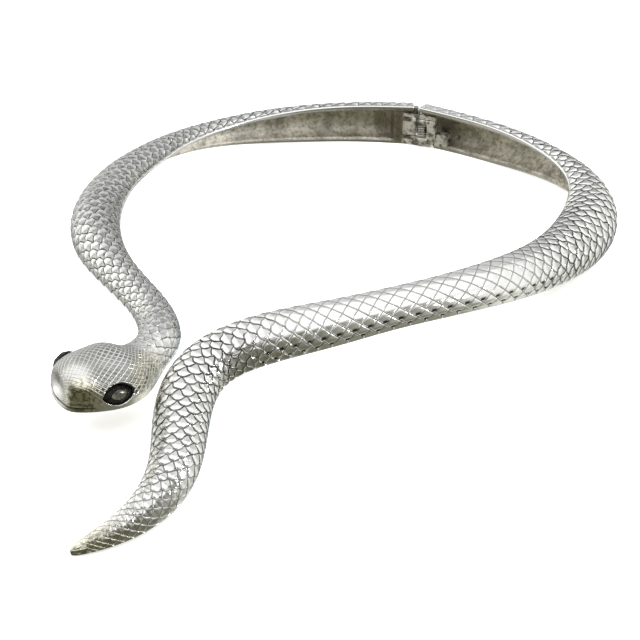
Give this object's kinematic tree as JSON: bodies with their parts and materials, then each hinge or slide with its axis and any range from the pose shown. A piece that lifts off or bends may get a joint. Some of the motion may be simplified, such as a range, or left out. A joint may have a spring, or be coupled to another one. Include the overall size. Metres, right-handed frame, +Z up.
{
  "type": "snake collar necklace",
  "caption": "Stiff hollow-backed snake collar whose head and tail meet side by side at the front, with a spring hinge at the nape so that it opens round the neck.",
  "frame": {"origin": "middle of the collar's outline as it lies, on the surface it rests on", "axes": "+Z up out of the table, +Y from the hanging tail towards the hinge at the nape, +X towards the tail half"},
  "size_m": [0.1543, 0.227, 0.0235],
  "materials": {
    "plated_casting": "bright rhodium-coloured plating over raised scales, rough inside",
    "plated_pin": "bright plating",
    "spring_steel": "drawn wire",
    "black_stone": "polished black facets"
  },
  "bodies": {
    "head_half": {"head_arm": "plated_casting", "hinge_pin": "plated_pin", "hinge_spring": "spring_steel", "eye_left": "black_stone", "eye_right": "black_stone"},
    "tail_half": {"tail_arm": "plated_casting"}
  },
  "joints": [
    {"name": "nape_hinge", "type": "hinge", "parent": "head_half", "child": "tail_half", "pos_m": [0.0003, 0.1076, 0.006], "axis": [0, 0, 1], "range_deg": [0, 45], "stiffness_Nm_per_rad": 0.15, "springref_deg": -17.19}
  ]
}
